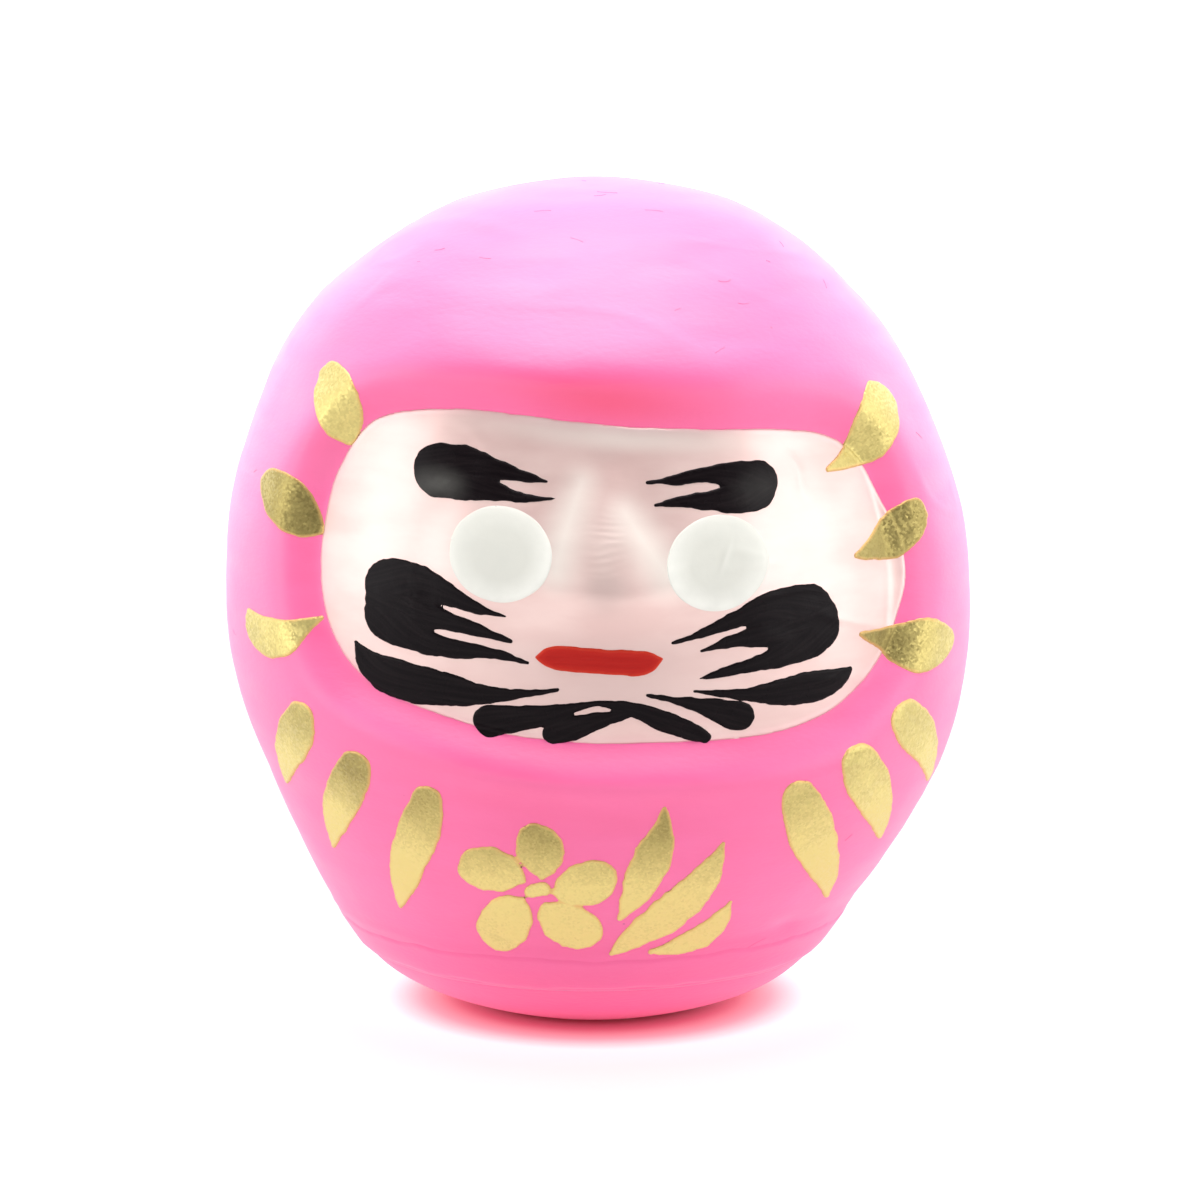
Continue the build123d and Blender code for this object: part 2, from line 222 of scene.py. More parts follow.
def noise(points, size):
    """Smooth noise from -1 to 1 at points, with lumps of about size."""
    at = np.asarray(points) / size
    low = np.floor(at).astype(int)
    part = at - low
    part = part * part * (3 - 2 * part)
    total = 0
    for corner in np.ndindex(2, 2, 2):
        cell = (low + corner) % NOISE_SIZE
        share = np.prod(np.where(corner, part, 1 - part), axis=-1)
        total = total + share * noise_table[cell[..., 0], cell[..., 1], cell[..., 2]]
    return total


# ---------------------------------------------------------------- the surface
outline = [(-r, z) for r, z in BODY_OUTLINE[:-1]] + [BODY_OUTLINE[-1]] + BODY_OUTLINE[-2::-1]
OUTLINE_SAMPLES = 6001
both_sides = spline(outline, OUTLINE_SAMPLES)
profile = both_sides[OUTLINE_SAMPLES // 2 :]
profile[:, 0] = np.maximum(profile[:, 0], 0)
profile_drop = np.concatenate([[0], np.cumsum(np.linalg.norm(np.diff(profile, axis=0), axis=1))])
profile_tangent = np.gradient(profile, profile_drop, axis=0)
FULL_DROP = profile_drop[-1]


def drop_at(height):
    """The drop at which the outline passes a height."""
    return np.interp(-np.asarray(height, float), -profile[:, 1], profile_drop)


def outline_at(drop):
    """Radius, height, and the outward normal's two parts, at a drop."""
    radius = np.interp(drop, profile_drop, profile[:, 0])
    height = np.interp(drop, profile_drop, profile[:, 1])
    along_r = np.interp(drop, profile_drop, profile_tangent[:, 0])
    along_z = np.interp(drop, profile_drop, profile_tangent[:, 1])
    length = np.hypot(along_r, along_z)
    return radius, height, -along_z / length, along_r / length


def lean_at(height):
    heights, shifts = np.array(LEAN, float).T
    return np.interp(height, heights, shifts)


def front_place(turn, drop, depth):
    """Where a place on the body sunk by depth shows from the front, as (x, z)."""
    radius, height, out, up = outline_at(drop)
    z = height - depth * up
    return (radius - depth * out) * np.sin(turn) + lean_at(z), z


def to_body(x, z, depth=0.0):
    """(turn, drop) of the place that shows at (x, z) from the front, on the body sunk by depth."""
    radius, height, out, up = outline_at(profile_drop)
    drop = np.interp(-np.asarray(z, float), depth * up - height, profile_drop)
    radius, height, out, up = outline_at(drop)
    turn = np.arcsin(np.clip((x - lean_at(z)) / (radius - depth * out), -1, 1))
    return turn, drop


FLAT = 38.0  # the radius at which a turn counts as a length, for distances round the face


def ring_distance(ring, a, b):
    """Signed distance from points (a, b) to a closed ring of points, negative inside."""
    nearest = np.full(np.shape(a), 1e9)
    inside = np.zeros(np.shape(a), bool)
    for (pa, pb), (qa, qb) in zip(ring, np.roll(ring, -1, axis=0)):
        ea, eb = qa - pa, qb - pb
        along = np.clip(((a - pa) * ea + (b - pb) * eb) / (ea * ea + eb * eb), 0, 1)
        nearest = np.minimum(nearest, np.hypot(a - pa - along * ea, b - pb - along * eb))
        crosses = (pb > b) != (qb > b)
        inside ^= crosses & (a < pa + (b - pb) * ea / (eb if eb else 1e-12))
    return np.where(inside, -nearest, nearest)


face_points = spline(FACE_OUTLINE, 160, closed=True)
face_turn, face_drop = to_body(face_points[:, 0], face_points[:, 1], FACE_DEPTH)
face_ring = np.stack([face_turn * FLAT, face_drop], axis=1)
face_chart = (np.linspace(-1.2, 1.2, 481), np.linspace(drop_at(82), drop_at(24), 321))
face_chart_away = ring_distance(face_ring, *np.meshgrid(face_chart[0] * FLAT, face_chart[1]))


def face_distance(turn, drop):
    """How far outside the face's painted edge a place is, negative on the face."""
    across = (turn - face_chart[0][0]) / (face_chart[0][1] - face_chart[0][0])
    down = (drop - face_chart[1][0]) / (face_chart[1][1] - face_chart[1][0])
    across = np.clip(across, 0, len(face_chart[0]) - 1.001)
    down = np.clip(down, 0, len(face_chart[1]) - 1.001)
    i, j = down.astype(int), across.astype(int)
    v, u = down - i, across - j
    upper = face_chart_away[i, j] * (1 - u) + face_chart_away[i, j + 1] * u
    lower = face_chart_away[i + 1, j] * (1 - u) + face_chart_away[i + 1, j + 1] * u
    return upper * (1 - v) + lower * v


def pocket_distance(turn, drop):
    """How far outside the foot of the pressed-in wall a place is: the pearl coat runs a little way up it."""
    right_cheek = np.exp(-(((turn - 0.93) / 0.16) ** 2)) * np.exp(-(((drop - drop_at(52)) / 7.0) ** 2))
    return face_distance(turn, drop) + 0.5 + 1.9 * right_cheek + 0.2 * smooth((drop - drop_at(41)) / 5)


def bell(value, middle, width):
    return np.exp(-(((value - middle) / width) ** 2))


nose_line = spline(NOSE_PROFILE, 240)


def nose_height(x, z):
    """The nose above the face's floor: it grows slowly down its bridge to a broad round tip."""
    rise = np.interp(-z, -nose_line[:, 0], nose_line[:, 1])
    width = np.interp(z, [45.0, 51.0, 57.0, 66.0], [6.4, 5.6, 4.2, 3.0])
    width = width + smooth((x - NOSE_X) / 3.0) * smooth((60 - z) / 9)
    tip = 0.25 * bell(x, NOSE_X, 2.6) * bell(z, 50.8, 2.6)
    return rise * np.exp(-(np.abs((x - NOSE_X) / width) ** 2.0)) + tip


def relief(turn, drop):
    """How far the formed paper stands out of the plain turned body."""
    x, z = front_place(turn, drop, FACE_DEPTH)
    away = pocket_distance(turn, drop)
    pressed = np.clip(-away / 3.0, 0, 1)
    features = nose_height(x, z)
    features = features - 0.12 * bell(x, 1.2, 3.4) * bell(z, 64.0, 3.0)
    for cx, cz in EYES.values():
        features = features + 0.65 * np.exp(-((((x - cx) / 6.2) ** 2 + ((z - cz) / 5.6) ** 2) ** 2))
    above = smooth((z - 58) / 8.0)
    low_left = smooth((4 - x) / 10) * above
    brow = 0.5 * bell(away, 5.6 - 1.7 * low_left, 4.0) * bell(x, 1.0, 36.0) * above
    chin = 1.1 * bell(away, 3.6, 2.2) * smooth((42 - z) / 5.0) * bell(x, 0.0, 20.0)
    wall = FACE_WALL - 0.3 * above - 0.6 * low_left
    return pressed * features + brow + chin - FACE_DEPTH * np.exp(-((np.maximum(away, 0) / wall) ** 2.0))


def handmade(turn, drop):
    """The unevenness of hand-laid paper: swells, lumps, creases, and ridges of strips round the crown."""
    radius, height, _, _ = outline_at(drop)
    base = np.stack([radius * np.sin(turn), -radius * np.cos(turn), height], axis=-1)
    swell = 0.26 * noise(base, 24.0) + 0.13 * noise(base + 50, 9.0) + 0.03 * noise(base + 90, 3.6)
    laid = np.stack([radius * np.sin(turn) / 7, radius * np.cos(turn) / 7, drop / 1.7], axis=-1)
    bent = laid + 0.8 * noise(base + 70, 11.0)[..., None]
    ridges = (0.035 * noise(bent, 1.0) + 0.05 * noise(bent + 9, 2.6)) * smooth((height - 52) / 20)
    creased = np.stack([radius * np.sin(turn) / 12, radius * np.cos(turn) / 12, drop / 6], axis=-1)
    crease_line = noise(creased + 0.7 * noise(base + 20, 13.0)[..., None], 1.0)
    creases = 0.07 * bell(crease_line, 0.0, 0.15) * smooth(0.5 + 1.5 * noise(base + 33, 17.0))
    creases = creases * smooth((height - 10) / 8)
    dent = 0.3 * bell(base[..., 0], 20.4, 1.8) * bell(height, 12.6, 1.1) * (np.cos(turn) > 0)
    fold_line = 12.4 + 0.5 * noise(base * (1, 1, 0), 8.0)
    fold = 0.1 * smooth((fold_line - height) / 0.7)
    return (swell + ridges + creases - dent + fold) * smooth(height / 6.0)


def skin(turn, drop, lift=0.0):
    """Places on the body's surface, lifted off it."""
    radius, height, out, up = outline_at(drop)
    rise = lift + handmade(turn, drop) + relief(turn, drop)
    r = radius + out * rise
    z = height + up * rise
    return np.stack([r * np.sin(turn) + lean_at(z), -r * np.cos(turn), z], axis=-1)


# Paint films: how thick each is, and the spacing of the grid that it is cut from
COAT, COAT_STEP = 0.2, 0.25
EYE_FILM, EYE_STEP = 0.07, 0.16
INK, INK_STEP = 0.12, 0.13
GOLD, GOLD_STEP = 0.14, 0.17
STRIP, STRIP_STEP = 0.22, 0.4
FILM_ROOT = 0.06  # how far a film's underside lies below the surface


def coat_distance(turn, drop):
    """How far outside the pearl coat's brushed edge a place is."""
    places = on_plane(turn * FLAT, drop)
    return face_distance(turn, drop) + 0.1 * noise(places, 5.0) + 0.03 * noise(places, 1.2)


def rounded(inward, edge):
    """From 0 at a film's edge up to 1, like a drop's side."""
    return np.sqrt(1 - (1 - np.clip(inward / edge, 0, 1)) ** 2)


def coat_rise(turn, drop):
    """The thickness of the pearl coat under a mark painted over it."""
    return COAT * rounded(-coat_distance(turn, drop), 0.4)


def painted_pink_shade(turn, drop):
    """Painted shade in the pink: deeper in the corner under the brow, and a little below the face."""
    x, z = front_place(turn, drop, 0)
    away = face_distance(turn, drop)
    shade_under_brow = bell(away, 2.0, 2.0) * bell(x, 1.0, 10.0) * smooth((z - 58) / 8)
    return shade_under_brow + 0.22 * bell(away, 6.0, 3.4) * bell(x, -3.0, 17.0) * smooth((42 - z) / 5)


# ---------------------------------------------------------------- meshes
def make_mesh(name, points, faces, attributes=None):
    """A smooth-shaded mesh object from points in millimetres."""
    mesh = bpy.data.meshes.new(name)
    mesh.from_pydata((np.asarray(points) * MM).tolist(), [], [list(map(int, f)) for f in faces])
    mesh.update()
    mesh.polygons.foreach_set("use_smooth", np.ones(len(mesh.polygons), bool))
    for key, values in (attributes or {}).items():
        layer = mesh.attributes.new(key, "FLOAT", "POINT")
        layer.data.foreach_set("value", np.asarray(values, np.float32))
    piece = bpy.data.objects.new(name, mesh)
    bpy.context.scene.collection.objects.link(piece)
    return piece


def grid_faces(rows, columns, wrap, start=0):
    """Quads of a grid of points stored row by row."""
    i, j = np.meshgrid(np.arange(rows - 1), np.arange(columns if wrap else columns - 1), indexing="ij")
    k = (j + 1) % columns
    above, below = i * columns, (i + 1) * columns
    quads = np.stack([above + j, below + j, below + k, above + k], axis=-1)
    return quads.reshape(-1, 4) + start


def closed_turning(rings):
    """Points and faces of a closed turned body: rings from one pole, round the outside, to the other."""
    rows, columns, _ = rings.shape
    points = np.vstack([rings.reshape(-1, 3), rings[0].mean(axis=0), rings[-1].mean(axis=0)])
    first, last = rows * columns, rows * columns + 1
    faces = grid_faces(rows, columns, wrap=True).tolist()
    for j in range(columns):
        k = (j + 1) % columns
        faces.append([first, j, k])
        faces.append([last, (rows - 1) * columns + k, (rows - 1) * columns + j])
    return points, faces


def film(name, distance, turns, drops, step, thick, under=coat_rise, edge=0.25, extra=None, marks=None):
    """A film of paint: the cells of a fine grid that lie inside distance, with their border drawn to its
    edge, a top that rounds down to the surface there, and a closed underside just below the surface."""
    columns = int((turns[1] - turns[0]) * FLAT / step) + 2
    rows = int((drops[1] - drops[0]) / step) + 2
    turn, drop = np.meshgrid(np.linspace(*turns, columns), np.linspace(*drops, rows))
    turn, drop = turn.ravel(), drop.ravel()
    quads = grid_faces(rows, columns, wrap=False)
    quads = quads[(distance(turn, drop)[quads] < 0).any(axis=1)]
    used, quads = np.unique(quads, return_inverse=True)
    quads = quads.reshape(-1, 4)
    turn, drop = turn[used], drop[used]
    small = 0.02
    for _ in range(4):
        out = np.flatnonzero(distance(turn, drop) > 0)
        t, d = turn[out], drop[out]
        slope_t = (distance(t + small / FLAT, d) - distance(t - small / FLAT, d)) / (2 * small)
        slope_d = (distance(t, d + small) - distance(t, d - small)) / (2 * small)
        pull = distance(t, d) / np.maximum(slope_t**2 + slope_d**2, 0.2)
        turn[out] -= pull * slope_t / FLAT
        drop[out] -= pull * slope_d
    inward = np.maximum(-distance(turn, drop), 0)
    ground = under(turn, drop)
    lift = ground + thick * rounded(inward, edge)
    if extra is not None:
        lift = lift + extra(turn, drop, inward)
    top = skin(turn, drop, lift)
    bottom = skin(turn, drop, ground - FILM_ROOT)
    count = len(turn)
    edges = np.concatenate([quads[:, [i, (i + 1) % 4]] for i in range(4)])
    forward = set(map(tuple, edges.tolist()))
    border = sorted((a, b) for a, b in forward if (b, a) not in forward)
    faces = quads.tolist() + (quads[:, ::-1] + count).tolist()
    faces += [[b, a, a + count, b + count] for a, b in border]
    attributes = {"inward": np.tile(inward, 2)}
    for key, values in (marks(turn, drop) if marks else {}).items():
        attributes[key] = np.tile(values, 2)
    return make_mesh(name, np.vstack([top, bottom]), faces, attributes)


def shown_at(turn, drop):
    """Where a place on the formed surface shows from the front."""
    places = skin(turn, drop)
    return places[..., 0], places[..., 2]


def stroke_parts(stations):
    line = spline(stations, 9 * len(stations))
    return list(zip(line[:-1], line[1:]))


def beside(start, end, x, z):
    """How far along from start to end (x, z) is, from 0 to 1, and how far away from that line it is."""
    ex, ez = end[0] - start[0], end[1] - start[1]
    along = np.clip(((x - start[0]) * ex + (z - start[1]) * ez) / (ex * ex + ez * ez), 0, 1)
    return along, np.hypot(x - start[0] - along * ex, z - start[1] - along * ez)


def stroke_distance(strokes, x, z, pool=0.12):
    """Signed distance to brush strokes, negative inside, with a little paint gathered where they meet."""
    total = None
    for stations in strokes:
        nearest = np.full(np.shape(x), 1e9)
        for start, end in stroke_parts(stations):
            along, away = beside(start, end, x, z)
            nearest = np.minimum(nearest, away - (start[2] + (end[2] - start[2]) * along))
        if total is None:
            total = nearest
        else:
            mix = np.clip(0.5 + 0.5 * (total - nearest) / pool, 0, 1)
            total = total + (nearest - total) * mix - pool * mix * (1 - mix)
    return total


def stroke_grain(strokes, x, z):
    """How far along its stroke a place is, from 0 to 1, and how far to the side of its middle line."""
    nearest = np.full(np.shape(x), 1e9)
    along_all, side_all = np.zeros(np.shape(x)), np.zeros(np.shape(x))
    for stations in strokes:
        parts = stroke_parts(stations)
        for k, (start, end) in enumerate(parts):
            along, away = beside(start, end, x, z)
            closer = away - start[2] < nearest
            ex, ez = end[0] - start[0], end[1] - start[1]
            side = ((x - start[0]) * ez - (z - start[1]) * ex) / np.hypot(ex, ez)
            along_all = np.where(closer, (k + along) / len(parts), along_all)
            side_all = np.where(closer, side, side_all)
            nearest = np.where(closer, away - start[2], nearest)
    return {"along": along_all, "side": side_all}


def paint_strokes(name, strokes, step, thick, rough=0.05, margin=1.2, tones=(0.6, 0.9), fade=None):
    """A film shaped as brush strokes. Its tone, a painted highlight on ink and painted reflection and shade
    on gold, goes from the first of tones to the second along each stroke, or as fade, which turns (x, z)
    into 0 to 1, says."""

    def distance(turn, drop):
        x, z = shown_at(turn, drop)
        places = on_plane(x, z)
        ragged = noise(places, 1.3) + 0.6 * noise(places + 30, 0.5)
        return stroke_distance(strokes, x, z) + rough * ragged

    def brush_marks(turn, drop):
        x, z = shown_at(turn, drop)
        values = stroke_grain(strokes, x, z)
        progress = fade(x, z) if fade else values["along"] * 1.5
        values["tone"] = tones[0] + (tones[1] - tones[0]) * smooth(progress)
        return values

    stations = np.array([s for stroke in strokes for s in stroke])
    reach = stations[:, 2] + margin
    corners = [(side * reach, depth) for side in (-1, 1) for depth in (0, FACE_DEPTH)]
    turns = [to_body(stations[:, 0] + aside, stations[:, 1], depth)[0] for aside, depth in corners]
    drops = [to_body(stations[:, 0], stations[:, 1] + aside, depth)[1] for aside, depth in corners]
    across, down = (np.min(turns), np.max(turns)), (np.min(drops), np.max(drops))
    return film(name, distance, across, down, step, thick, marks=brush_marks)


def fibres(count, chosen):
    """Paper fibres and creases caught under the paint, as thin closed slivers: chosen ones at (turn, drop,
    length, heading), and count more scattered mostly over the crown."""
    dice = np.random.default_rng(SEED + 1)
    places = list(chosen)
    while len(places) < count + len(chosen):
        turn, drop = dice.uniform(-math.pi, math.pi), dice.triangular(3, 20, drop_at(12))
        if face_distance(turn, drop) > 1:
            places.append((turn, drop, dice.uniform(0.5, 1.9), dice.normal(0, 0.6)))
    points, faces = [], []
    edge = 7  # points along each of a sliver's four edges
    for turn, drop, length, heading in places:
        radius = outline_at(drop)[0]
        steps = np.linspace(-0.5, 0.5, edge)
        bow = dice.normal(0, 0.35) * (0.25 - steps**2) * length
        across = length * steps * math.cos(heading) - bow * math.sin(heading)
        down = length * steps * math.sin(heading) + bow * math.cos(heading)
        width = dice.uniform(0.06, 0.13) * np.sqrt(np.maximum(1 - (2 * steps) ** 2, 0.02))
        start = len(points)
        for sideways, lift in ((-1, -0.03), (0, 0.05), (1, -0.03), (0, -0.12)):
            t = turn + (across - sideways * width * math.sin(heading)) / max(radius, 2)
            d = drop + down + sideways * width * math.cos(heading)
            points.extend(skin(t, d, lift))
        for k in range(edge - 1):
            for c in range(4):
                near, far = start + edge * c + k, start + edge * ((c + 1) % 4) + k
                faces.append([near, near + 1, far + 1, far])
        faces.append([start + edge * c for c in range(4)])
        faces.append([start + edge * c - 1 for c in (4, 3, 2, 1)])
    return np.array(points), faces


# ---------------------------------------------------------------- materials
def new_material(name):
    material = bpy.data.materials.new(name)
    material.use_nodes = True
    tree = material.node_tree
    shader = tree.nodes["Principled BSDF"]
    return material, tree, shader


def set_inputs(tree, made, inputs):
    """Links each named input of a node to a socket, or sets its constant value."""
    for key, value in inputs.items():
        if isinstance(value, bpy.types.NodeSocket):
            tree.links.new(value, made.inputs[key])
        else:
            made.inputs[key].default_value = value


def node(tree, kind, inputs=None, **settings):
    """Adds a node, sets its settings, and sets or links its inputs."""
    made = tree.nodes.new(kind)
    for key, value in settings.items():
        setattr(made, key, value)
    set_inputs(tree, made, inputs or {})
    return made


def ramp(tree, factor, stops):
    made = node(tree, "ShaderNodeValToRGB", {"Fac": factor})
    elements = made.color_ramp.elements
    while len(elements) < len(stops):
        elements.new(0.5)
    for element, (place, colour) in zip(elements, stops):
        element.position = place
        element.color = (*colour, 1)
    return made.outputs["Color"]


def object_place(tree):
    return node(tree, "ShaderNodeTexCoord").outputs["Object"]


def grain(tree, place, scale, detail=3.0, stretch=(1, 1, 1)):
    """A noise texture's value; stretch above 1 along an axis draws its lumps out across that axis."""
    mapped = node(tree, "ShaderNodeMapping", {"Vector": place, "Scale": stretch}).outputs["Vector"]
    inputs = {"Vector": mapped, "Scale": scale, "Detail": detail}
    return node(tree, "ShaderNodeTexNoise", inputs).outputs["Fac"]


def mixed(tree, factor, first, second):
    """A colour between two colours."""
    first, second = ((*c, 1) if isinstance(c, tuple) else c for c in (first, second))
    return node(tree, "ShaderNodeMix", {0: factor, 6: first, 7: second}, data_type="RGBA").outputs[2]


def math_node(tree, operation, first, second=0.0):
    return node(tree, "ShaderNodeMath", {0: first, 1: second}, operation=operation).outputs["Value"]


def vector_node(tree, operation, inputs):
    return node(tree, "ShaderNodeVectorMath", inputs, operation=operation).outputs["Vector"]


def span(tree, value, start, end, low=0.0, high=1.0):
    """Maps start..end to low..high, held at both ends."""
    ranges = {"Value": value, "From Min": start, "From Max": end, "To Min": low, "To Max": high}
    return node(tree, "ShaderNodeMapRange", ranges).outputs["Result"]


def stored(tree, name):
    """A value kept on the mesh's points."""
    return node(tree, "ShaderNodeAttribute", attribute_name=name).outputs["Fac"]


def emboss(tree, shader, height, depth, strength=1.0):
    """Raises the shader's surface by height, over depth metres."""
    bump = node(tree, "ShaderNodeBump", {"Height": height, "Distance": depth, "Strength": strength})
    tree.links.new(bump.outputs["Normal"], shader.inputs["Normal"])


def pink_paint():
    """Matte fluorescent pink, brushed on in level sweeps, with a few specks, painted shade under the brow
    and below the face, and a painted contact shade deepening it towards the foot.
    """
    material, tree, shader = new_material("pink_paint")
    place = object_place(tree)
    clouds = grain(tree, place, 45.0, 4.0)
    sweeps = grain(tree, place, 90.0, 4.0, (1, 1, 4.5))
    tone = math_node(tree, "MULTIPLY", clouds, 0.55)
    tone = math_node(tree, "ADD", tone, math_node(tree, "MULTIPLY", sweeps, 0.45))
    colour = ramp(tree, tone, [
        (0.30, (0.92, 0.106, 0.315)), (0.50, (0.94, 0.124, 0.350)), (0.70, (0.96, 0.142, 0.385)),
    ])
    # painted contact shade: the pink deepens over the last 16 mm above the floor
    above_floor = node(tree, "ShaderNodeSeparateXYZ", {"Vector": place}).outputs["Z"]
    foot = span(tree, above_floor, 0.016, 0.001, 0.0, 0.9)
    colour = mixed(tree, foot, colour, (0.91, 0.030, 0.22))
    cells = node(tree, "ShaderNodeTexVoronoi", {"Vector": place, "Scale": 260.0})
    speck = span(tree, cells.outputs["Distance"], 0.05, 0.025)
    rare = math_node(tree, "GREATER_THAN", cells.outputs["Color"], 0.72)
    speck = math_node(tree, "MULTIPLY", math_node(tree, "MULTIPLY", speck, rare), 0.5)
    # painted shade: deeper pink under the brow and below the face
    thick = math_node(tree, "MULTIPLY", stored(tree, "painted_pink_shade"), 0.85)
    colour = mixed(tree, thick, colour, (0.90, 0.050, 0.170))
    fibre = grain(tree, place, 1100.0, 4.0, (1, 1, 2.5))
    height = math_node(tree, "MULTIPLY", sweeps, 0.45)
    height = math_node(tree, "ADD", height, math_node(tree, "MULTIPLY", fibre, 0.3))
    emboss(tree, shader, height, 0.00010)
    set_inputs(tree, shader, {
        "Base Color": mixed(tree, speck, colour, (0.42, 0.03, 0.12)),
        "Roughness": span(tree, sweeps, 0.3, 0.7, 0.38, 0.50),
        "Specular IOR Level": 0.85,
        "Sheen Weight": 0.35,
        "Sheen Tint": (1.0, 0.68, 0.95, 1),
        "Sheen Roughness": 0.5,
    })
    return material


def pearl_paint():
    """Pale pearl with painted shade (nose ridge and tip, lower face), painted highlights (nose flanks and
    bridge, under the top rim), and pinker at its thin brushed edge.
    """
    material, tree, shader = new_material("pearl_paint")
    place = object_place(tree)
    flow = grain(tree, place, 110.0, 4.0, (1, 1, 3))
    colour = ramp(tree, flow, [(0.35, (0.76, 0.535, 0.500)), (0.65, (0.82, 0.610, 0.570))])
    thin = span(tree, stored(tree, "inward"), 0.1, 1.2, 0.22, 0.0)
    # painted shade on the nose's ridge and tip and on the lower face
    painted_face_shade = math_node(tree, "MULTIPLY", stored(tree, "painted_face_shade"), 0.8)
    colour = mixed(tree, painted_face_shade, colour, (0.60, 0.435, 0.410))
    # painted highlights on the nose's flanks and bridge and under the face's top rim
    colour = mixed(tree, stored(tree, "thick"), colour, (1.0, 0.900, 0.825))
    colour = mixed(tree, thin, colour, (0.80, 0.40, 0.46))
    roughness = span(tree, flow, 0.3, 0.7, 0.33, 0.41)
    waving = {"Vector": place, "Scale": 420.0, "Distortion": 7.0, "Detail": 1.0, "Detail Scale": 0.6}
    waves = node(tree, "ShaderNodeTexWave", waving, bands_direction="Z").outputs["Fac"]
    wrinkles = math_node(tree, "MULTIPLY", waves, stored(tree, "wrinkled"))
    wrinkles = math_node(tree, "MULTIPLY", wrinkles, 0.25)
    cloth = math_node(tree, "MULTIPLY", grain(tree, place, 300.0, 3.0, (1, 1, 2)), 0.4)
    emboss(tree, shader, math_node(tree, "ADD", wrinkles, cloth), 0.00007)
    set_inputs(tree, shader, {"Base Color": colour, "Roughness": roughness, "Metallic": 0.5})
    return material


def white_paint():
    """Satin white with a painted highlight along the rim, where the paint dried thick, strongest on its
    lower inner side.
    """
    material, tree, shader = new_material("white_paint")
    place = object_place(tree)
    blots = grain(tree, place, 350.0, 4.0)
    rim = math_node(tree, "MULTIPLY", span(tree, stored(tree, "inward"), 2.4, 0.5), stored(tree, "shine"))
    colour = mixed(tree, rim, (0.68, 0.675, 0.615), (0.86, 0.855, 0.795))
    colour = mixed(tree, span(tree, blots, 0.45, 0.75, 0.0, 0.3), colour, (0.61, 0.61, 0.56))
    emboss(tree, shader, blots, 0.00006)
    set_inputs(tree, shader, {"Base Color": colour, "Roughness": 0.38})
    return material


def brushed_streaks(tree):
    """Streaks that run along a brush stroke."""
    across = math_node(tree, "MULTIPLY", stored(tree, "side"), 2.6)
    along = math_node(tree, "MULTIPLY", stored(tree, "along"), 2.5)
    vector = node(tree, "ShaderNodeCombineXYZ", {"X": across, "Y": along}).outputs["Vector"]
    return node(tree, "ShaderNodeTexNoise", {"Vector": vector, "Scale": 1.0, "Detail": 4.0}).outputs["Fac"]


def black_paint():
    """Glossy lacquer ink, with the drag of the brush in it, and a painted highlight in grey where its tone
    is high.
    """
    material, tree, shader = new_material("black_paint")
    streaks = brushed_streaks(tree)
    colour = ramp(tree, streaks, [(0.40, (0.005, 0.003, 0.004)), (0.8, (0.013, 0.009, 0.010))])
    blots = grain(tree, object_place(tree), 260.0, 3.0)
    # painted highlight: grey where the tone is high
    grey_highlight = math_node(tree, "MULTIPLY", stored(tree, "tone"), span(tree, blots, 0.3, 0.6, 0.55, 1.0))
    colour = mixed(tree, grey_highlight, colour, (0.10, 0.097, 0.090))
    roughness = span(tree, blots, 0.35, 0.65, 0.16, 0.36)
    height = math_node(tree, "ADD", math_node(tree, "MULTIPLY", streaks, 0.3), blots)
    emboss(tree, shader, height, 0.00010)
    set_inputs(tree, shader, {"Base Color": colour, "Roughness": roughness, "Specular IOR Level": 0.07})
    return material


def red_paint():
    """Lacquer red, lighter and more orange where it thins at the edge."""
    material, tree, shader = new_material("red_paint")
    streaks = brushed_streaks(tree)
    colour = ramp(tree, span(tree, stored(tree, "inward"), 0.0, 0.8), [
        (0.0, (0.60, 0.050, 0.022)), (0.45, (0.48, 0.014, 0.008)), (1.0, (0.43, 0.009, 0.006)),
    ])
    colour = mixed(tree, span(tree, streaks, 0.4, 0.7, 0.0, 0.5), colour, (0.50, 0.016, 0.010))
    emboss(tree, shader, streaks, 0.00008)
    set_inputs(tree, shader, {"Base Color": colour, "Roughness": 0.34, "Specular IOR Level": 0.14})
    return material


def gold_paint():
    """Metal flake in varnish, from olive to bright gold by its tone, which is painted reflection and shade,
    and orange at its thin edge.
    """
    material, tree, shader = new_material("gold_paint")
    place = object_place(tree)
    flakes = node(tree, "ShaderNodeTexVoronoi", {"Vector": place, "Scale": 4200.0}).outputs["Color"]
    drift = grain(tree, place, 420.0, 3.0)
    # the tone is painted reflection and shade
    tone = math_node(tree, "MULTIPLY", stored(tree, "tone"), 0.55)
    for value, share in ((drift, 0.3), (flakes, 0.2)):
        tone = math_node(tree, "ADD", tone, math_node(tree, "MULTIPLY", value, share))
    body = ramp(tree, tone, [
        (0.18, (0.25, 0.195, 0.065)), (0.48, (0.48, 0.39, 0.14)), (0.9, (0.80, 0.67, 0.26)),
    ])
    thin = span(tree, stored(tree, "inward"), 0.0, 0.32, 0.85, 0.0)
    facing = node(tree, "ShaderNodeNewGeometry").outputs["Normal"]
    tilt = vector_node(tree, "SUBTRACT", {0: flakes, 1: (0.5, 0.5, 0.5)})
    tilt = vector_node(tree, "SCALE", {0: tilt, "Scale": 0.28})
    facing = vector_node(tree, "ADD", {0: facing, 1: tilt})
    set_inputs(tree, shader, {
        "Base Color": mixed(tree, thin, body, (0.78, 0.46, 0.16)),
        "Metallic": span(tree, thin, 0.0, 0.85, 0.92, 0.35),
        "Roughness": span(tree, drift, 0.3, 0.7, 0.40, 0.48),
        "Normal": vector_node(tree, "NORMALIZE", {0: facing}),
    })
    return material


